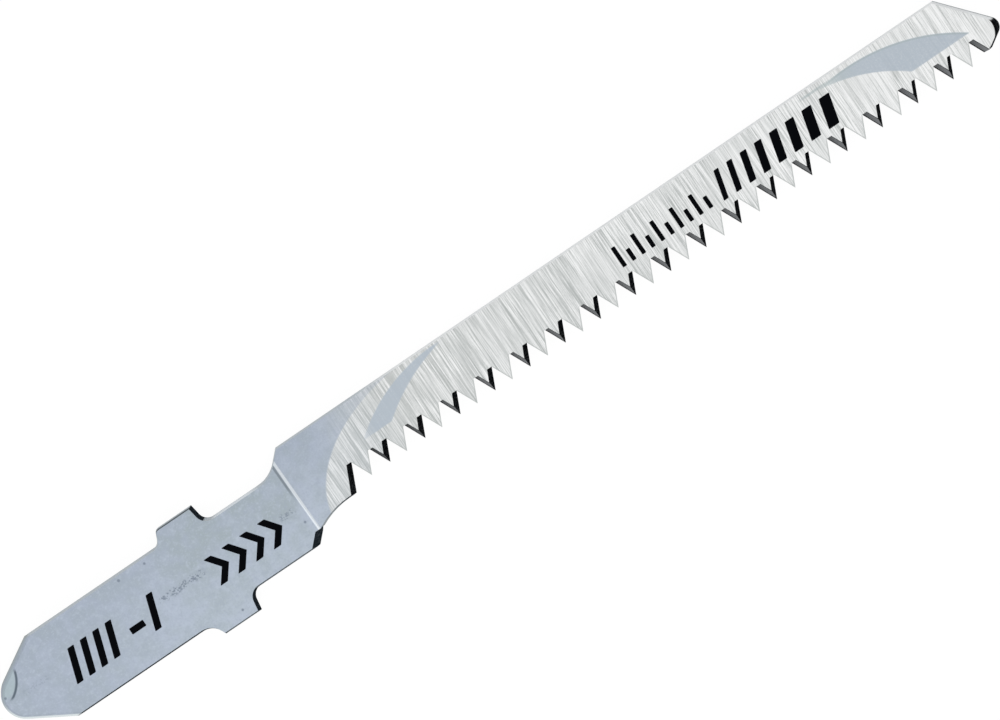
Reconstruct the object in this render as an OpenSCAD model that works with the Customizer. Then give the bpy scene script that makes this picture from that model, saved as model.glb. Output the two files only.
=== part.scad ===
// Jigsaw blade with a lugged tang and fine, alternately bevel-ground teeth.
// It lies flat: X runs along the blade from the tang to the tip, Y points to the spine,
// Z is through the thickness. X = 0 is where the lugs seat, Y = 0 is the tang's centreline
// and Z = 0 is the back face of the blank.

/* [Blank] */
// Length over all
blade_len = 76.35; // [60:0.05:130]
// Thickness of the sheet
blank_t = 1.5; // [1:0.05:2]
// How far the broken edge leans in, from the back face to the front one
edge_draft = 0.12; // [0.02:0.01:0.2]
// Height of the clean shear land before the edge leans in
shear_land = 0.5; // [0.2:0.05:0.8]

/* [Tang] */
// From the lugs' seat to the end of the tang
tang_reach = 17; // [14:0.1:20]
// Width of the tang
tang_w = 6.12; // [5.4:0.02:6.8]
// Angle of each lead-in flank to the length
lead_angle = 30.5; // [25:0.5:45]
// Radius of the tang's nose
nose_r = 1.7; // [0.8:0.05:2.2]
// Width of the coined bevel round the lead-in
coin_w = 0.26; // [0.1:0.02:0.4]
// Depth of the coined bevel
coin_h = 0.2; // [0.1:0.02:0.3]

/* [Lugs] */
// Width across the two lugs
lug_span = 7.98; // [7.6:0.02:9]
// Length of a lug along the blade
lug_len = 2.7; // [2:0.05:4]
// Angle of a lug's tang side to the length
lug_slope = 65; // [50:1:85]
// Lean of a lug's seat away from square
seat_lean = 9; // [0:1:15]
// Radius in the corner between tang and lug, on the spine side
root_up_r = 0.5; // [0.3:0.05:1.2]
// Radius in the corner between tang and lug, on the tooth side
root_down_r = 1.05; // [0.3:0.05:1.2]
// Radius in the corner between lug and neck
lug_seat_r = 0.7; // [0.3:0.01:1.2]
// Radius on the outer corner of the spine-side lug
lug_soft_r = 0.35; // [0.1:0.05:0.5]

/* [Neck and shoulder] */
// Neck edge on the spine side, from the centreline
neck_up = 2.64; // [2:0.02:2.9]
// Neck edge on the tooth side, from the centreline
neck_down = 2.68; // [2.4:0.02:3]
// Where the spine-side neck edge would meet the shoulder's slope
shoulder_x = 5.17; // [4:0.05:8]
// Angle of the shoulder's slope
shoulder_angle = 45; // [35:1:60]
// Radius between neck and shoulder
shoulder_r = 2.27; // [0.5:0.01:2.6]

/* [Heel] */
// Where the bevelled corner of the neck starts, at the back face
corner_x = 5.4; // [4.6:0.05:5.6]
// Angle of the bevelled corner
corner_angle = 45; // [40:1:60]
// Depth of the bevelled corner
corner_h = 0.88; // [0.5:0.02:1]
// Slant of the cut across the corner, through the thickness
corner_slant = 21; // [5:1:30]
// Radius of the hollow in front of the teeth
hollow_r = 5.3; // [4.9:0.1:6]
// Where the hollow runs out into the heel
heel_x = 8.69; // [8.2:0.01:9.2]
// Heel's edge, below the centreline
heel_down = 1.26; // [0.9:0.02:1.4]

/* [Ground body] */
// Spine's edge, above the centreline
spine_up = 4; // [3.4:0.02:4.2]
// Width from the spine to the tooth points
body_w = 4.85; // [4.4:0.01:5]
// Where the ground faces begin
grind_x = 6.06; // [5.8:0.02:6.6]
// Depth ground off each face at the spine
grind_spine = 0.2; // [0.05:0.01:0.3]
// Depth ground off each face at the tooth points
grind_teeth = 0.09; // [0.02:0.01:0.15]
// Lean of the line where the grinding begins
grind_lean = 0.8; // [0:0.1:3]
// Slope of the ramp down to the ground face
grind_ramp = 38; // [25:1:60]

/* [Teeth] */
// Distance from one tooth to the next
pitch = 1.343; // [1.2:0.001:1.6]
// Middle of the first gullet
first_gullet = 10.02; // [9.6:0.01:10.6]
// Angle of a tooth's flank to the tooth's height
flank_angle = 24.9; // [22:0.1:32]
// Width of the flat at the bottom of a gullet
gullet_flat = 0.337; // [0.15:0.001:0.5]
// Slant of the grinding stroke through the thickness, to the left and right by turns
stroke_angle = 14; // [5:0.5:20]
// Least length kept between the last gullet and the tip
tip_room = 2; // [1.8:0.05:4]

/* [Tip] */
// Radius of the tip's nose
tip_r = 0.67; // [0.5:0.01:1]
// Middle of the nose, above the centreline
tip_up = 0.62; // [0.3:0.01:1]
// Angle of the slope from the spine to the nose
tip_top_angle = 49.5; // [35:0.5:60]
// Angle of the edge from the nose back to the last tooth
tip_low_angle = 33; // [25:1:45]
// How far the corner behind the last gullet stops short of the tooth points
tip_corner = 0.33; // [0.1:0.01:0.6]

/* [Hidden] */

// Largest turn of one flat on a round stretch of the outline, in degrees
arc_step = 6;
// How far a cutter reaches past what it cuts
over = 1;
// Thickness of the two faces that a slanted cut is drawn between
skin = 0.01;

tip_x = blade_len - tang_reach;
strip_end = tip_x + over;
lug_x = -lug_len;
tang_side = tang_w / 2;
lug_side = lug_span / 2;

// Reach of a tool that has to pass the whole blade on one side
wide = 3 * lug_span;

// Where a lug's tang side meets the tang
root_x = lug_x - (lug_side - tang_side) / tan(lug_slope);
// Room for the two radii along the shorter of the two seats
seat_room = (lug_side - max(neck_up, neck_down)) / cos(seat_lean) - 0.02;
seat_r = min(lug_seat_r, seat_room / tan(45 - seat_lean / 2));
// Room for the radii along a lug's tang side
root_room = ((lug_side - tang_side) / sin(lug_slope) - 0.02) / tan(lug_slope / 2);

// The slope leaves the neck at the shoulder's corner and ends at the spine
spine_start = shoulder_x + (spine_up - neck_up) / tan(shoulder_angle);

// The hollow is an arc, tangent to the heel at heel_x
hollow_y = -heel_down - hollow_r;
corner_top = -neck_down + corner_h;
corner_end = corner_x + corner_h / tan(corner_angle);
hollow_from = acos((corner_end - heel_x) / hollow_r);

// Teeth: the points come out exactly at the body's width
tooth_y = spine_up - body_w;
tooth_t = blank_t - 2 * grind_teeth;
stroke_shift = tooth_t * tan(stroke_angle);
tooth_h = (pitch + stroke_shift - gullet_flat) / 2 / tan(flank_angle);
gullet_y = tooth_y + tooth_h;
gullets = 1 + floor((tip_x - tip_room - first_gullet) / pitch);

// The two lead-in flanks would meet here if the nose were sharp
lead_apex = -tang_reach - nose_r * (1 / sin(lead_angle) - 1);

function unit(v) = v / norm(v);
function turned(a) = [cos(a), sin(a)];
function around(centre, r, from, to) =
    let (n = ceil(abs(to - from) / arc_step))
    [for (i = [0:n]) centre + r * turned(from + (to - from) * i / n)];

// The corner b between a and c, rounded to radius r, as points along an arc
function rounded_corner(a, b, c, r) =
    let (
        u = unit(a - b),
        v = unit(c - b),
        half = acos(u * v) / 2,
        way = sign(cross(b - a, c - b)),
        centre = b + unit(u + v) * r / sin(half),
        start = b + u * r / tan(half) - centre,
        from = atan2(start[1], start[0])
    )
    around(centre, r, from, from + way * (180 - 2 * half));

// An outline from corners [x, y, radius], where a radius of 0 leaves the corner sharp
function outline(corners) =
    let (n = len(corners), flat = [for (c = corners) [c[0], c[1]]])
    [for (i = [0:n - 1]) each
        corners[i][2] > 0
            ? rounded_corner(flat[(i + n - 1) % n], flat[i], flat[(i + 1) % n], corners[i][2])
            : [flat[i]]];

// The same anticlockwise outline, moved inwards all round by d
function inset(path, d) =
    let (n = len(path))
    [for (i = [0:n - 1])
        let (
            u = unit(path[i] - path[(i + n - 1) % n]),
            v = unit(path[(i + 1) % n] - path[i]),
            across = [-u[1] - v[1], u[0] + v[0]]
        )
        path[i] + d * across / (1 + u * v)];

// The blank seen from the front, anticlockwise, with a plain strip where teeth and tip are cut
function blank_outline() = outline([
    [-tang_reach - over, -tang_side, 0],
    [root_x, -tang_side, min(root_down_r, root_room)],
    [lug_x, -lug_side, 0],
    [0, -lug_side, 0],
    [(lug_side - neck_down) * tan(seat_lean), -neck_down, seat_r],
    [corner_end, -neck_down, 0],
    for (p = around([heel_x, hollow_y], hollow_r, hollow_from, 90)) [p[0], p[1], 0],
    [strip_end, -heel_down, 0],
    [strip_end, spine_up, 0],
    [spine_start, spine_up, 0],
    [shoulder_x, neck_up, shoulder_r],
    [(lug_side - neck_up) * tan(seat_lean), neck_up, seat_r],
    [0, lug_side, 0],
    [lug_x, lug_side, lug_soft_r],
    [root_x, tang_side, min(root_up_r, root_room - lug_soft_r)],
    [-tang_reach - over, tang_side, 0]
]);

// The lead-in: a nose and two flanks, which run on past the tang's sides
function lead_in_outline() = outline([
    [lead_apex, 0, nose_r],
    [lead_apex + wide / tan(lead_angle), -wide, 0],
    [strip_end + over, -wide, 0],
    [strip_end + over, wide, 0],
    [lead_apex + wide / tan(lead_angle), wide, 0]
]);

// A solid through levels [z, inset] of one outline
module lofted(path, levels) {
    n = len(path);
    m = len(levels);
    rings = [for (l = levels) each [for (p = inset(path, l[1])) [p[0], p[1], l[0]]]];
    walls = [for (k = [0:m - 2], i = [0:n - 1])
        [k * n + i, (k + 1) * n + i, (k + 1) * n + (i + 1) % n, k * n + (i + 1) % n]];
    floor_face = [for (i = [0:n - 1]) i];
    roof_face = [for (i = [n - 1:-1:0]) (m - 1) * n + i];
    polyhedron(points = rings, faces = concat([floor_face, roof_face], walls), convexity = 10);
}

// The punched blank: a clean land at the back, then an edge that leans in
module blank() {
    lofted(blank_outline(), [[0, 0], [shear_land, 0], [blank_t, edge_draft]]);
}

// What the lead-in leaves of the tang, with a coined bevel on both faces
module lead_in() {
    past = coin_w * (1 + over / coin_h);
    lofted(lead_in_outline(), [
        [-over, past],
        [coin_h, 0],
        [blank_t - coin_h, edge_draft],
        [blank_t + over, edge_draft + past]
    ]);
}

// What is ground off one face of the body: a wheel's flat, with a steep run-out at the neck
module face_grind() {
    tilt = atan((grind_spine - grind_teeth) / body_w);
    reach = strip_end - grind_x + over;
    ramp = over / tan(grind_ramp);
    translate([grind_x, spine_up, -grind_spine])
        rotate([0, 0, grind_lean])
            rotate([90 - tilt, 0, 0])
                linear_extrude(height = 2 * wide, center = true)
                    polygon([[0, 0], [reach + over, 0], [reach + over, over], [-ramp, over]]);
}

// A profile drawn through the thickness on a slant. It is true at height 0, and it moves along X
// by tan(lean) for each unit above that.
module slanted(path, lean, low, high) {
    hull()
        for (z = [low, high])
            translate([z * tan(lean), 0, z])
                linear_extrude(height = skin)
                    polygon(path);
}

// One gullet, from its flat down past the tooth points, true in the middle of the thickness
module gullet(lean) {
    drop = tooth_h + heel_down + tooth_y + over;
    spread = gullet_flat / 2 + drop * tan(flank_angle);
    slanted([
        [-gullet_flat / 2, gullet_y],
        [-spread, gullet_y - drop],
        [spread, gullet_y - drop],
        [gullet_flat / 2, gullet_y]
    ], lean, -blank_t, blank_t);
}

// All the gullets: the stroke leans one way, then the other, which bevels the teeth by turns
module gullet_row() {
    for (i = [0:gullets - 1])
        translate([first_gullet + i * pitch, 0, blank_t / 2])
            gullet(i % 2 == 0 ? -stroke_angle : stroke_angle);
}

// The slanted cut across the neck's lower corner
module corner_bevel() {
    slanted([
        [corner_end, corner_top],
        [corner_x - over / tan(corner_angle), -neck_down - over],
        [heel_x + over, -neck_down - over],
        [heel_x + over, corner_top]
    ], -corner_slant, -over, blank_t + over);
}

// What the tip's cut leaves: nose, upper slope and lower edge, on the same slant
module tip_keep() {
    low = tip_low_angle - 90;
    high = 90 - tip_top_angle;
    far = 2 * blade_len;
    nose = around([0, tip_up], tip_r, low, high);
    low_end = nose[0] - far * turned(tip_low_angle);
    high_end = nose[len(nose) - 1] - far * turned(-tip_top_angle);
    translate([tip_x - tip_r, 0, grind_teeth])
        slanted(concat([low_end], nose, [high_end]), -stroke_angle, -over, blank_t + over);
}

// The flat under the corner behind the last gullet
module tip_corner_flat() {
    last = first_gullet + (gullets - 1) * pitch;
    translate([last, tooth_y + tip_corner - wide, -over])
        cube([strip_end - last + over, wide, blank_t + 2 * over]);
}

// The whole blade: punched, coined at the tang, ground on both faces, then cut to teeth and tip
module blade() {
    color([0.67, 0.71, 0.77])
        difference() {
            intersection() {
                blank();
                lead_in();
                tip_keep();
            }
            translate([0, 0, blank_t])
                face_grind();
            mirror([0, 0, 1])
                face_grind();
            corner_bevel();
            gullet_row();
            tip_corner_flat();
        }
}

blade();
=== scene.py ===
# %% [markdown]
# A jigsaw blade, lying on a white table
#
# The real object is one strip of steel: punched to its outline, coined at the end of the tang,
# ground thinner along the body, and cut to teeth by slanted strokes. All of those forms are real
# shapes, so they come with the imported model. This script gives the blade its finishes, which is
# where it gets its look: a satin grey shank, a brighter body covered in fine cross-grinding, the
# curved edges where the grinding ran out, dark punched edges that are partly a painted shade, printed
# marks, and a few painted highlights and shadows.

# %% The frame
import math

import bpy
from mathutils import Matrix, Vector
from mathutils.bvhtree import BVHTree


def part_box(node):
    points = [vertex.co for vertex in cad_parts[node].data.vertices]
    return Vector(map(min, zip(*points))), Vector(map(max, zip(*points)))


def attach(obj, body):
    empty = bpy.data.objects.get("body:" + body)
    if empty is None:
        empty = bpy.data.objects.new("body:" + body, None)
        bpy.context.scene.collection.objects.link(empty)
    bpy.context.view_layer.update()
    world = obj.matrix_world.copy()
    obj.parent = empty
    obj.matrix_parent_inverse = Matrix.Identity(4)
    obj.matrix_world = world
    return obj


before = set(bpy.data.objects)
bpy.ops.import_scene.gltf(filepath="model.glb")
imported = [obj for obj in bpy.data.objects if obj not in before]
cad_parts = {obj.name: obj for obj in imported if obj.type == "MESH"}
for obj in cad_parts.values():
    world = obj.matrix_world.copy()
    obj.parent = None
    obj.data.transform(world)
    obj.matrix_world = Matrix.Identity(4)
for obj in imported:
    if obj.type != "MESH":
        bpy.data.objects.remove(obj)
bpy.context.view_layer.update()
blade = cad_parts["blade"]
bpy.ops.object.select_all(action="DESELECT")

MM = 0.001
low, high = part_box("blade")
print("blade", [round((b - a) / MM, 2) for a, b in zip(low, high)], "mm")

# %% [markdown]
# Where things are on the blade
#
# The model's frame is handy for a blade: X runs from the tang to the tip, Y points from the teeth
# to the spine, and X = 0 is where the lugs seat. All sizes here are in millimetres in that frame,
# and only become metres where Blender asks for them.

# %% Places on the blade
THICKNESS = high[2] / MM
SPINE_Y = 4.0
GRIND_X = 6.06
STEP_LEAN = math.tan(math.radians(0.8))

# %% [markdown]
# The camera
#
# The photograph looks almost straight down on the blade from about a third of a metre, with a long
# lens. The lens stands over a point towards the tip and the spine, and looks at the middle of the
# picture, so the walls that face that point show a little. The blade climbs to the right in the
# frame by ROLL degrees. Building the camera's axes as three vectors is surer than guessing angles.

# %% Camera
ROLL = math.radians(34.25)
PHOTO_WIDTH = 1000
PX_PER_MM = 15.875
LOOK_AT = Vector((21.46, 0.63, THICKNESS)) * MM
STAND = Vector((36.5, 10.79, THICKNESS + 353.0)) * MM
SENSOR = 36.0

camera_data = bpy.data.cameras.new("camera")
camera = bpy.data.objects.new("camera", camera_data)
bpy.context.collection.objects.link(camera)
bpy.context.scene.camera = camera

photo_up = Vector((math.sin(ROLL), math.cos(ROLL), 0))
forward = (LOOK_AT - STAND).normalized()
right = forward.cross(photo_up).normalized()
up = right.cross(forward)
axes = Matrix((right, up, -forward)).transposed()
camera.matrix_world = Matrix.Translation(STAND) @ axes.to_4x4()

distance = (LOOK_AT - STAND).length / MM
camera_data.sensor_width = SENSOR
camera_data.lens = SENSOR * distance * PX_PER_MM / PHOTO_WIDTH
camera_data.clip_start = 0.01
print("lens", round(camera_data.lens, 1), "mm at", round(distance), "mm")

# %% [markdown]
# Shader maths in plain Python
#
# A finish is worked out from masks, and masks are sums. Wiring a dozen Math nodes by hand hides the
# sum, so a small class wraps a socket and lets Python's own operators add the nodes. Any other node
# comes from one method, node(), that takes its type, its settings and its sockets.

# %% A small shader language
class Value:
    """One output socket. Maths on it adds Math nodes to its material."""

    def __init__(self, paint, socket):
        self.paint = paint
        self.socket = socket

    def maths(self, operation, first, second=0.0):
        return self.paint.node("ShaderNodeMath", {"operation": operation}, {0: first, 1: second})

    def __add__(self, other):
        return self.maths("ADD", self, other)

    __radd__ = __add__

    def __mul__(self, other):
        return self.maths("MULTIPLY", self, other)

    __rmul__ = __mul__

    def __sub__(self, other):
        return self.maths("SUBTRACT", self, other)

    def __rsub__(self, other):
        return self.maths("SUBTRACT", other, self)

    def __truediv__(self, other):
        return self.maths("DIVIDE", self, other)

    def __abs__(self):
        return self.maths("ABSOLUTE", self)

    def least(self, other):
        return self.maths("MINIMUM", self, other)

    def most(self, other):
        return self.maths("MAXIMUM", self, other)

    def root(self):
        return self.maths("SQRT", self)


class Paint:
    """A new material, and the one method that adds nodes to it."""

    def __init__(self, name):
        self.material = bpy.data.materials.new(name)
        self.material.use_nodes = True
        self.tree = self.material.node_tree
        self.tree.nodes.clear()

    def node(self, kind, settings=None, sockets=None, output=0):
        made = self.tree.nodes.new(kind)
        for name, setting in (settings or {}).items():
            setattr(made, name, setting)
        for name, value in (sockets or {}).items():
            if isinstance(value, Value):
                self.tree.links.new(value.socket, made.inputs[name])
            else:
                made.inputs[name].default_value = value
        return Value(self, made.outputs[output])

    def rise(self, value, start, end):
        """0 up to start, 1 from end on, and smooth between."""
        sockets = {"Value": value, "From Min": start, "From Max": end}
        return self.node("ShaderNodeMapRange", {"interpolation_type": "SMOOTHSTEP"}, sockets)

    def fall(self, value, start, end):
        """1 up to start, 0 from end on, and smooth between."""
        return 1 - self.rise(value, start, end)

    def split(self, vector):
        """The three parts of a vector, each as a Value."""
        made = self.node("ShaderNodeSeparateXYZ", {}, {0: vector})
        outputs = made.socket.node.outputs
        return [Value(self, outputs[i]) for i in range(3)]

    def mix(self, mask, first, second):
        """The first colour where mask is 0 and the second where it is 1."""
        settings = {"data_type": "RGBA"}
        return self.node("ShaderNodeMix", settings, {0: mask, 6: first, 7: second}, output=2)

    def noise(self, place, scale, detail=2.0, roughness=0.5):
        sockets = {"Vector": place, "Scale": scale, "Detail": detail, "Roughness": roughness}
        return self.node("ShaderNodeTexNoise", {}, sockets)

    def finish(self, shader):
        surface = self.tree.nodes.new("ShaderNodeOutputMaterial").inputs["Surface"]
        self.tree.links.new(shader.socket, surface)
        return self.material


def srgb(red, green, blue):
    """A colour given 0 to 255, as the linear colour that Blender's sockets hold."""
    parts = [c / 255 for c in (red, green, blue)]
    linear = [c / 12.92 if c <= 0.04045 else ((c + 0.055) / 1.055) ** 2.4 for c in parts]
    return (*linear, 1.0)


# %% [markdown]
# The table and the light
#
# The blade lies on plain white. The table is a diffuse white surface, and a large share of it glows
# white for the camera, so that it reads as white paper and keeps only a trace of shadow. The sky is
# an even white, because a ground metal face shows its own grey only under a light that is the same
# all round. One large lamp low on the tooth side gives other views some form.

# %% Table
TABLE_SIZE = 3.0
TABLE_Z = -0.00002
TABLE_WHITE = (0.9, 0.9, 0.9, 1)
GLOW_WHITE = (1, 1, 1, 1)
GLOW_STRENGTH = 1.02
GLOW_SHARE = 0.93

bpy.ops.mesh.primitive_plane_add(size=TABLE_SIZE, location=(0, 0, TABLE_Z))
table = bpy.context.object
table.name = "table"

white = Paint("table_white")
paper = white.node("ShaderNodeBsdfDiffuse", {}, {"Color": TABLE_WHITE})
glow = white.node("ShaderNodeEmission", {}, {"Color": GLOW_WHITE, "Strength": GLOW_STRENGTH})
seen = white.node("ShaderNodeLightPath", {}, {}, output="Is Camera Ray")
mirrored = white.node("ShaderNodeLightPath", {}, {}, output="Is Glossy Ray")
through = white.node("ShaderNodeLightPath", {}, {}, output="Is Transmission Ray")
share = seen.most(mirrored).most(through) * GLOW_SHARE
both = white.node("ShaderNodeMixShader", {}, {0: share, 1: paper, 2: glow})
table.data.materials.append(white.finish(both))

# %% Sky and lamp
SKY_WHITE = (1, 1, 1, 1)
SKY_STRENGTH = 0.92
LAMP_PLACE = (-0.12, -0.3, 0.4)
LAMP_SIZE = 0.25
LAMP_WATTS = 0.8

world = bpy.data.worlds.new("studio")
bpy.context.scene.world = world
world.use_nodes = True
world.node_tree.nodes["Background"].inputs["Color"].default_value = SKY_WHITE
world.node_tree.nodes["Background"].inputs["Strength"].default_value = SKY_STRENGTH

bpy.ops.object.light_add(type="AREA", location=LAMP_PLACE)
lamp = bpy.context.object
lamp.data.shape = "DISK"
lamp.data.size = LAMP_SIZE
lamp.data.energy = LAMP_WATTS
lamp.rotation_euler = (LOOK_AT - lamp.location).to_track_quat("-Z", "Y").to_euler()

# %% [markdown]
# The steel
#
# One material covers the whole blade, because it is one piece of steel, and masks say where each
# finish lies. Every mask reads Object coordinates, which are the blade's own millimetres here, and
# the Normal from the same node tells a face from a bevel and a bevel from a punched wall.

# %% Steel: where a point is
steel = Paint("blade_steel")
place = steel.node("ShaderNodeTexCoord", {}, {}, output="Object")
normal = steel.node("ShaderNodeTexCoord", {}, {}, output="Normal")
raw_x, raw_y, raw_z = steel.split(place)
x, y, z = raw_x / MM, raw_y / MM, raw_z / MM
nx, ny, nz = steel.split(normal)

front = steel.rise(nz, -0.5, 0.5)
flat = steel.rise(abs(nz), 0.9, 0.97)
sloped = steel.rise(abs(nz), 0.45, 0.6) * (1 - flat)

# %% [markdown]
# Where the grinding wheel went
#
# The wheel that thins the body runs out near the heel in a long curve, and it misses two hollows: a
# crescent near the heel and a leaf near the tip. Each border is a piece of an ellipse, and a field
# is what lies inside one ellipse, outside another and above a floor line.

# %% Steel: ground and missed fields
RUN_OUT = (17.0, -2.1, 9.85, 6.1)
CRESCENT_OUTER = (18.6, -7.66, 11.44, 11.44)
CRESCENT_INNER = (21.58, -9.07, 13.04, 13.04)
CRESCENT_FLOOR = 1.27
LEAF_OUTER = (49.75, -9.2, 12.8, 12.8)
LEAF_INNER = (46.4, -7.04, 10.49, 10.49)
LEAF_FLOOR = 1.07
RIM_TAIL_Y = 3.52
EDGE = 0.05


def outside(oval):
    """How far a place lies outside an ellipse (middle x, middle y, half length, half height)."""
    across = (x - oval[0]) / oval[2]
    along = (y - oval[1]) / oval[3]
    return ((across * across + along * along).root() - 1) * min(oval[2], oval[3])


def missed_field(outer, inner, floor_y):
    """1 inside the outer ellipse, outside the inner one and above the floor line."""
    inside_outer = steel.rise(0 - outside(outer), -EDGE, EDGE)
    outside_inner = steel.rise(outside(inner), -EDGE, EDGE)
    return inside_outer * outside_inner * steel.rise(y - floor_y, -EDGE, EDGE)


past_run_out = steel.rise(x, RUN_OUT[0] - 0.01, RUN_OUT[0])
ground = steel.rise(0 - outside(RUN_OUT), -EDGE, EDGE).most(past_run_out)
ground = ground * steel.rise(x, GRIND_X, GRIND_X + EDGE)
crescent = missed_field(CRESCENT_OUTER, CRESCENT_INNER, CRESCENT_FLOOR)
crescent = crescent * steel.rise(x, 10.9, 12.7) * steel.fall(x, 18.2, 19.4)
leaf = missed_field(LEAF_OUTER, LEAF_INNER, LEAF_FLOOR) * steel.rise(x, 46.5, 49.5)
missed = crescent.most(leaf)
leaf_rim = steel.fall(abs(outside(LEAF_OUTER) + 0.05), 0.03, 0.1) * leaf
rim_tail = steel.fall(abs(y - RIM_TAIL_Y), 0.03, 0.12) * steel.rise(x, 45.8, 46.8) * steel.fall(x, 47.6, 49.4)
leaf_rim = leaf_rim.most(rim_tail * front)

# %% Steel: a darker band along every second tooth
TOOTH_X = 10.69
TOOTH_STEP = 2.686
TOOTH_POINT = -0.85
TOOTH_SPREAD = math.tan(math.radians(24.9))
BAND_WIDE = 0.12
BAND_TOP = 0.7
ROW_END = 57.5

# A narrow band along the flanks of every second tooth, where the face is painted a little darker.
from_half = x - TOOTH_X + front * (TOOTH_STEP / 2)
along_row = from_half.maths("FLOORED_MODULO", from_half, TOOTH_STEP)
from_middle = abs(along_row - TOOTH_STEP / 2)
to_flank = (y - TOOTH_POINT) * TOOTH_SPREAD - from_middle
tooth_edge_band = steel.fall(to_flank, BAND_WIDE / 3, BAND_WIDE) * steel.fall(y, BAND_TOP - 0.3, BAND_TOP)
tooth_edge_band = tooth_edge_band * steel.rise(to_flank, -0.04, -0.01)
tooth_edge_band = tooth_edge_band * steel.rise(x, 9.5, 10) * steel.fall(x, ROW_END - 0.1, ROW_END)

# %% [markdown]
# Grinding lines
#
# The lines run across the blade. A noise squeezed hard along X and hardly along Y gives long thin
# streaks. A broad one, a fine one and a very fine, short one are summed with the grain, and the
# lowest values of one more give the few single dark scratches.

# %% Steel: grinding lines
BROAD = (5400, 170, 1000)
FINE = (16000, 260, 1000)
HAIR = (30000, 900, 1000)
SCRATCH = (7000, 230, 1000)
PATCH = (420, 420, 1000)
WALL_GRAIN = (12000, 12000, 900)


def streaks(scale, detail):
    squeezed = steel.node("ShaderNodeMapping", {}, {"Vector": place, "Scale": scale})
    return steel.noise(squeezed, 1.0, detail=detail)


broad_lines = streaks(BROAD, 2.0)
fine_lines = streaks(FINE, 2.0)
hair_lines = streaks(HAIR, 1.0)
scratches = steel.fall(streaks(SCRATCH, 1.0), 0.27, 0.36)
patches = streaks(PATCH, 2.0)
grain = steel.noise(place, 9000, detail=2.0)
strength = steel.rise(patches, 0.35, 0.65) * 0.6 + 0.6
lines = (broad_lines - 0.5) * 0.42 + (fine_lines - 0.5) * 0.78 + (hair_lines - 0.5) * 0.45
lines = lines + (grain - 0.5) * 0.14 - scratches * 0.12
drift = steel.rise(x, 12, 55) * 0.11 - 0.06
line_tone = steel.rise(lines * strength + 0.5 + drift, 0.24, 0.72)

# %% [markdown]
# Flat faces
#
# The shank is a satin grey that is darker along the spine's side and at the very end of the tang,
# and drifts between blue and green in soft blotches, with a fine grain on top. The missed fields are
# the same grey, a shade lighter, with some of the grinding lines still on them.

# %% Steel: the faces' colours
SHANK_DARK = srgb(160, 170, 184)
SHANK_LIGHT = srgb(181, 191, 204)
SHANK_GREEN = srgb(160, 171, 177)
SHANK_BLUE = srgb(176, 185, 202)
FIELD_GREY = srgb(177, 187, 197)
LEAF_RIM = srgb(166, 178, 180)
LEAF_GREEN = srgb(178, 190, 190)
GROUND_DARK = srgb(180, 184, 183)
GROUND_LIGHT = srgb(243, 244, 244)
STEP_HIGHLIGHT = srgb(232, 238, 243)
STEP_SHADOW = srgb(118, 127, 134)
MARK_DARK = srgb(78, 90, 100)
SPECK_DARK = srgb(112, 122, 136)
FACET_GREEN = srgb(170, 186, 190)
TIP_SHADE_BLACK = srgb(10, 11, 12)

shade = steel.rise(0 - y, -4.6, 3.4) * (steel.rise(x, -15, -1) * 0.7 + 0.3)
shade = shade + steel.rise(x, 5.5, 7) * 0.2 - steel.rise(0 - y, 0, 2) * steel.fall(x, -5, -2) * 0.18
mottle = steel.noise(place, 900, detail=2.0)
blotch = steel.noise(place, 2600, detail=3.0, roughness=0.6)
on_neck_face = steel.rise(x, -5, -1.5) * steel.fall(x, 5, 6.5)
shank = steel.mix(shade, SHANK_DARK, SHANK_LIGHT)
greenish = on_neck_face * (steel.rise(y, -1, 1) * 0.3 + 0.25)
shank = steel.mix(steel.rise(mottle, 0.35, 0.7) * 0.4 + greenish, shank, SHANK_GREEN)
shank = steel.mix(steel.fall(mottle, 0.3, 0.55) * 0.35, shank, SHANK_BLUE)
shank = steel.mix(steel.rise(blotch, 0.5, 0.75) * 0.55, shank, SHANK_LIGHT)
shank = steel.mix(steel.fall(blotch, 0.25, 0.5) * 0.55, shank, SHANK_DARK)
shank = steel.mix(steel.rise(grain, 0.5, 0.75) * 0.5, shank, SHANK_LIGHT)
shank = steel.mix(steel.fall(grain, 0.25, 0.5) * 0.5, shank, SHANK_DARK)
ground_colour = steel.mix(line_tone, GROUND_DARK, GROUND_LIGHT)
ground_colour = steel.mix(steel.fall(x, 11, 15) * 0.2, ground_colour, FIELD_GREY)
field_colour = steel.mix(steel.fall(x, 47.5, 51) * steel.rise(x, 40, 42) * 0.8, FIELD_GREY, LEAF_GREEN)
field_colour = steel.mix(steel.rise(grain, 0.4, 0.8) * 0.16 + 0.06, field_colour, ground_colour)
run_out_tail = steel.rise(x, 8.5, 13.5) * 0.6
face = steel.mix(ground.most(run_out_tail), shank, ground_colour)
face = steel.mix(missed * ground, face, field_colour)
face = steel.mix(leaf_rim * 0.6, face, LEAF_RIM)
tooth_band_tone = steel.mix(0.25, GROUND_DARK, ground_colour)
face = steel.mix(tooth_edge_band, face, tooth_band_tone)

# %% [markdown]
# Small marks of use, and painted shade at the tip
#
# A curved line and a dot at the tang's nose, four specks, rows of fine pits along the middle, and
# a band of painted shade on the front face round the tip, beside the slanted cut. They stand where
# the photograph shows them.

# %% Steel: marks of use, and painted shade at the tip
NOSE_ARC = (-17.2, 2.22, 2.256)
NOSE_DOT = (-16.5, 0.49, 0.12)
SPECKS = [(-6.34, 2.64, 0.14), (-4.38, 2.62, 0.12), (-0.88, -3.3, 0.12), (5.52, -0.92, 0.12)]
PIT_ROW = 0.1
PIT_REACH = 0.45
PIT_STRETCHES = [(-15.6, -13.2, 0.4), (-5.1, -1.3, 1.0), (4.1, 5.6, 0.8)]
TIP_ROUND = (57.66, 0.78, 1.19, 1.19)


def near(middle_x, middle_y, radius):
    """1 at a spot, and 0 from the given radius on."""
    across = x - middle_x
    along = y - middle_y
    return steel.fall((across * across + along * along).root(), radius * 0.4, radius)


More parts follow.
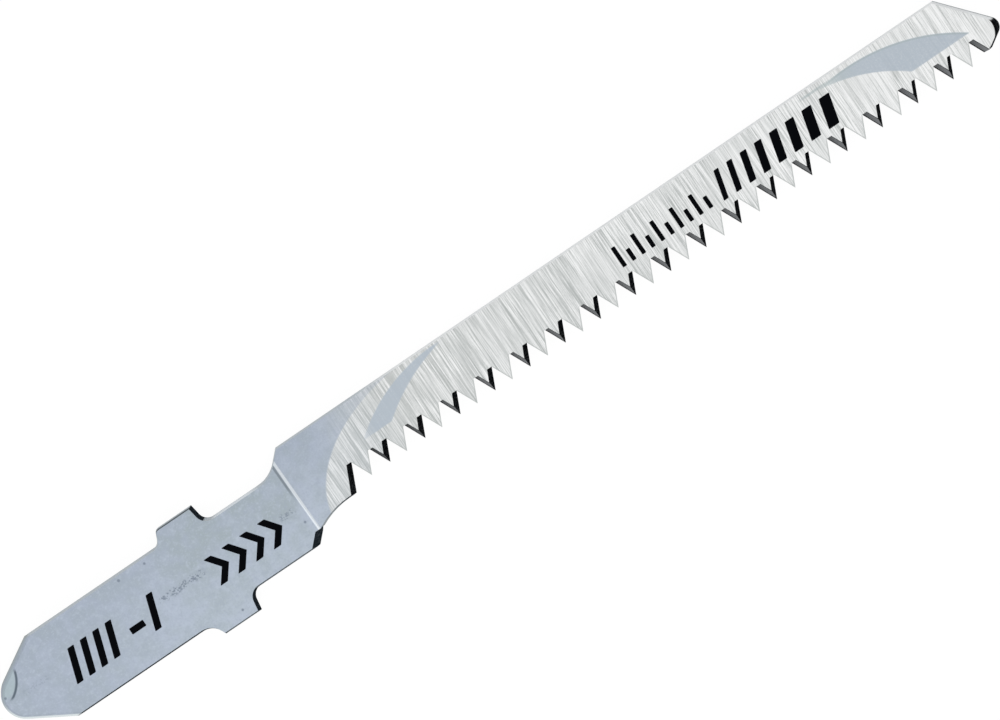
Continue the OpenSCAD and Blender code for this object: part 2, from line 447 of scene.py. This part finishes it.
arc_x = x - NOSE_ARC[0]
arc_y = y - NOSE_ARC[1]
arc_gap = (arc_x * arc_x + arc_y * arc_y).root() - NOSE_ARC[2]
arc_line = steel.fall(abs(arc_gap), 0.03, 0.12) * steel.rise(y, 0.08, 0.3) * steel.fall(y, 1.5, 1.8)
arc_line = arc_line * steel.rise(x, -16.5, -16.1)
facet = steel.fall(arc_gap, -0.15, 0.0) * steel.rise(y, 0.2, 0.6) * steel.fall(x, -14.8, -14.4)
spots = near(*NOSE_DOT)
for speck in SPECKS:
    spots = spots.most(near(*speck))
pit_noise = steel.noise(place, 9000, detail=1.0)
pit_band = steel.fall(abs(y - PIT_ROW), PIT_REACH * 0.2, PIT_REACH)
pits = 0
for start, end, depth in PIT_STRETCHES:
    stretch = steel.rise(x, start, start + 0.4) * steel.fall(x, end - 0.4, end) * depth
    pits = stretch + pits
pits = pits * steel.rise(pit_noise + pit_band * 0.12, 0.6, 0.72) * pit_band
face = steel.mix(facet * front * 0.6, face, FACET_GREEN)
face = steel.mix(pits * front * 0.75, face, SPECK_DARK)
face = steel.mix(spots * front * 0.7, face, SPECK_DARK)
face = steel.mix(arc_line * front * 0.85, face, MARK_DARK)
# A painted dark shade on the front face round the tip, which joins the painted shade on the slanted cut's
# wall.
tip_shade_band = steel.rise(outside(TIP_ROUND), 0.0, 0.05) * steel.rise(x, 57.8, 58.0)
face = steel.mix(tip_shade_band * front * steel.fall(y, 0.9, 1.3), face, TIP_SHADE_BLACK)

# %% [markdown]
# The step and the punched walls
#
# Where the ground body begins, a painted highlight stands for a narrow ramp catching the light, with
# a painted thin shadow behind it on the spine's half. Walls are tinted by the way they face: those
# toward the tip get a painted black shade, those on the spine's side are as light as the faces, and
# the neck's stretch of them gets a painted highlight. On the tooth side a punched wall has two zones,
# as sheared steel has: a smooth bright land at the back face, and a dark torn one above it.

# %% Steel: the step's painted highlight and shadow
step_x = x - GRIND_X - (SPINE_Y - y) * STEP_LEAN
# A painted highlight where the ramp catches the light, and behind it a painted shadow line on the spine's
# half.
ramp_highlight = steel.fall(abs(step_x + 0.11), 0.05, 0.13)
shadow_line = steel.fall(abs(step_x + 0.29), 0.05, 0.12) * steel.rise(y, 0.4, 1.6)
face = steel.mix(shadow_line * 0.8, face, STEP_SHADOW)
face = steel.mix(ramp_highlight * 0.85, face, STEP_HIGHLIGHT)

# %% Steel: bevels and walls
COIN_LIT = srgb(216, 224, 226)
COIN_SHADED = srgb(163, 173, 181)
WALL_LIGHT = srgb(184, 191, 196)
NECK_GLINT = srgb(216, 222, 227)
WALL_DARK = srgb(34, 39, 44)
HOLLOW_GREY = srgb(140, 146, 149)
LUG_TOP = srgb(82, 88, 92)
WALL_SHADE_BLACK = srgb(9, 10, 12)
SHANK_WALL_SHADE = srgb(22, 28, 33)
LAND_GREY = srgb(132, 139, 144)
SHEAR_LAND = 0.5
BODY_LIGHT = srgb(226, 228, 229)
FLANK_GREY = srgb(122, 124, 126)
FLANK_EDGE = srgb(38, 40, 42)
NOSE_WALL = srgb(160, 166, 168)

wall_lines = steel.noise(steel.node("ShaderNodeMapping", {}, {"Vector": place, "Scale": WALL_GRAIN}), 1.0)
# The coined bevel is painted light where it faces the teeth and painted in shade where it faces the spine.
# Near the front face it takes the face's colour.
coin = steel.mix(steel.fall(ny, -0.3, 0.2), COIN_SHADED, COIN_LIT)
coin = steel.mix(steel.rise(z, THICKNESS - 0.13, THICKNESS - 0.07), coin, face)
bevel = steel.mix(steel.rise(x, 0, 1), coin, face)

land = steel.fall(z + wall_lines * 0.2, SHEAR_LAND, SHEAR_LAND + 0.1)
on_body = steel.rise(x, 12, 16)
# The neck's walls get a painted highlight, except on the tooth side, where the sheared zones follow.
on_neck = steel.rise(x, 0.6, 1.0) * steel.fall(x, 3.5, 4.6)
wall = steel.mix(on_body, WALL_LIGHT, BODY_LIGHT)
wall = steel.mix(on_neck, wall, NECK_GLINT)
wall = steel.mix(land * 0.7, wall, LAND_GREY)
tooth_side = steel.rise(0 - ny, 0.25, 0.5)
torn = steel.mix(steel.rise(x, -3.4, -2.6) * steel.fall(x, 4.8, 5.2) * 0.32, WALL_DARK, LAND_GREY)
sheared = steel.mix(land, torn, LAND_GREY)
wall = steel.mix(tooth_side, wall, sheared)
in_hollow = steel.rise(x, 6.1, 6.3) * steel.fall(x, 6.6, 9.0) * tooth_side
wall = steel.mix(in_hollow, wall, HOLLOW_GREY)
lead_in = steel.fall(x, -13.3, -13.0)
wall = steel.mix(lead_in, wall, NOSE_WALL)
lug_top = steel.rise(y, 3.5, 3.85) * steel.fall(x, 0.1, 0.2) * steel.rise(z, 0.6, 1.2)
wall = steel.mix(lug_top, wall, LUG_TOP)
wall = steel.mix(steel.rise(wall_lines, 0.4, 0.8) * 0.12, wall, LAND_GREY)
# Walls that face the tip, and the lug's root on the spine's side, get a painted black shade. It is a little
# less dark on the shank than along the teeth, and has faint lines in it.
tip_fade = steel.rise(x, 57.9, 58.1) * 0.2
tip_facing_shade = steel.rise(nx - ny.most(0) * 0.75, 0.24, tip_fade + 0.4) * (1 - in_hollow)
lug_root_shade = steel.rise(nx - ny.most(0), -0.1, 0.1) * steel.rise(ny, 0, 0.1) * steel.fall(x, 1.0, 1.2)
painted_wall_shade = steel.mix(steel.rise(x, 7, 8), SHANK_WALL_SHADE, WALL_SHADE_BLACK)
painted_wall_shade = steel.mix(steel.rise(wall_lines, 0.4, 0.8) * 0.12, painted_wall_shade, LAND_GREY)
wall = steel.mix(tip_facing_shade.most(lug_root_shade), wall, painted_wall_shade)

core = steel.rise(z, 0.2, 0.5) * steel.fall(z, 1.15, 1.35)
flank = steel.mix(core, FLANK_EDGE, FLANK_GREY)
flank = steel.mix(steel.fall(x, 12, 20) * 0.6, flank, FLANK_EDGE)
tooth_flank = steel.fall(nx, -0.5, -0.3) * steel.rise(x, 10, 10.5) * steel.fall(y, 0.7, 0.9)
wall = steel.mix(tooth_flank, wall, flank)

colour = steel.mix(flat, steel.mix(sloped, wall, bevel), face)

# %% Steel: the surface
GRIND_DEPTH = 0.00001
height = line_tone * ground * flat + grain * 0.2
bump = steel.node("ShaderNodeBump", {}, {"Height": height, "Strength": 0.12, "Distance": GRIND_DEPTH})
shine = steel.node("ShaderNodeBsdfPrincipled", {}, {
    "Base Color": colour,
    "Metallic": flat.most(sloped),
    "Roughness": 0.4,
    "Specular IOR Level": 0.0,
    "Normal": bump,
})
blade.data.materials.clear()
blade.data.materials.append(steel.finish(shine))

# %% [markdown]
# Printed marks
#
# Black ink stands in four places on the front: two on the shank and two on the body. Plain shapes
# fill them here, at the size and weight that the print has: slanted bars and a dash, chevrons,
# ruler ticks, and bars that grow wider. Each one is a plane, cut once, pushed to its shape, dropped
# onto the steel by a ray from above and given the thickness of the ink. The body's face is tilted,
# so the ray matters there.

# %% Ink
INK_THICK = 0.012
INK_SUNK = 0.01
INK_CORNER = 0.05
ABOVE = Vector((0, 0, 0.01))
DOWN = Vector((0, 0, -1))

ink = Paint("marking_ink")
ink_shine = ink.node("ShaderNodeBsdfPrincipled", {}, {
    "Base Color": srgb(8, 9, 12),
    "Metallic": 0.0,
    "Roughness": 0.6,
    "Specular IOR Level": 0.0,
})
ink_material = ink.finish(ink_shine)
steel_faces = BVHTree.FromObject(blade, bpy.context.evaluated_depsgraph_get())


def on_steel(at_x, at_y):
    """The point of the front face at a place in millimetres, raised by the ink's thickness."""
    start = Vector((at_x * MM, at_y * MM, 0)) + ABOVE
    hit = steel_faces.ray_cast(start, DOWN)[0]
    return hit + Vector((0, 0, INK_THICK * MM))


def ink_bar(middle, width, tall, slant=0.0, bend=0.0):
    """One stroke. Its top leans toward the tip by slant, and its middle is pushed there by bend."""
    bpy.ops.mesh.primitive_plane_add(size=1)
    stroke = bpy.context.object
    bpy.ops.object.mode_set(mode="EDIT")
    bpy.ops.mesh.subdivide(number_cuts=1)
    bpy.ops.mesh.select_all(action="DESELECT")
    bpy.ops.object.mode_set(mode="OBJECT")
    for point in stroke.data.vertices:
        across, along = point.co.x, point.co.y
        point.select = abs(across) > 0.4 and abs(along) > 0.4
        lean = slant * along + bend * (1 - 2 * abs(along))
        point.co = on_steel(middle[0] + across * width + lean, middle[1] + along * tall)
    bpy.ops.object.mode_set(mode="EDIT")
    bpy.ops.mesh.bevel(offset=INK_CORNER * MM, segments=3, affect="VERTICES")
    bpy.ops.object.mode_set(mode="OBJECT")
    return stroke


def print_marks(name, strokes):
    """Joins strokes to one piece, gives it the ink's thickness and lets it ride on the blade."""
    bpy.ops.object.select_all(action="DESELECT")
    for stroke in strokes:
        stroke.select_set(True)
    bpy.context.view_layer.objects.active = strokes[0]
    bpy.ops.object.join()
    marks = bpy.context.object
    marks.name = name
    bpy.ops.object.modifier_add(type="SOLIDIFY")
    marks.modifiers[-1].thickness = (INK_THICK + INK_SUNK) * MM
    marks.modifiers[-1].offset = -1
    marks.data.materials.append(ink_material)
    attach(marks, "root")
    bpy.ops.object.select_all(action="DESELECT")
    return marks


# %% Marks on the shank
BAR_Y = -0.21
BAR_TALL = 2.24
BAR_WIDE = 0.48
BAR_SLANT = 0.75
BAR_PLACES = [-11.6, -10.65, -9.7, -8.75, -5.6]
DASH_MIDDLE = (-7.0, -0.47)
DASH_SIZE = (1.05, 0.44)
CHEVRON_START = -0.9
CHEVRON_STEP = 1.36
CHEVRON_COUNT = 4
CHEVRON_Y = -0.29
CHEVRON_TALL = 1.95
CHEVRON_WIDE = 0.55
CHEVRON_BEND = 0.75

strokes = [ink_bar((at, BAR_Y), BAR_WIDE, BAR_TALL, slant=BAR_SLANT) for at in BAR_PLACES]
strokes.append(ink_bar(DASH_MIDDLE, *DASH_SIZE))
for i in range(CHEVRON_COUNT):
    middle = (CHEVRON_START + i * CHEVRON_STEP, CHEVRON_Y)
    strokes.append(ink_bar(middle, CHEVRON_WIDE, CHEVRON_TALL, bend=CHEVRON_BEND))
print_marks("shank_marks", strokes)

# %% Marks on the body
TICK_START = 31.3
TICK_STEP = 0.73
TICK_COUNT = 10
TICK_FOOT = 1.07
TICK_WIDE = 0.29
TICK_TALL = (1.45, 0.85)
BLOCK_START = 39.0
BLOCK_GAP = 0.6
BLOCK_WIDTHS = [0.36, 0.42, 0.48, 0.54, 0.6, 0.66, 0.72, 0.78]
BLOCK_Y = 1.96
BLOCK_TALL = 1.95
BLOCK_SLANT = 0.5

strokes = []
for i in range(TICK_COUNT):
    tall = TICK_TALL[i % 2]
    strokes.append(ink_bar((TICK_START + i * TICK_STEP, TICK_FOOT + tall / 2), TICK_WIDE, tall))
left = BLOCK_START
for width in BLOCK_WIDTHS:
    strokes.append(ink_bar((left + width / 2, BLOCK_Y), width, BLOCK_TALL, slant=BLOCK_SLANT))
    left += width + BLOCK_GAP
print_marks("body_marks", strokes)

# %% [markdown]
# Colour as it is written
#
# The Standard view shows a colour as it was written.

# %% Finish
bpy.context.scene.view_settings.view_transform = "Standard"
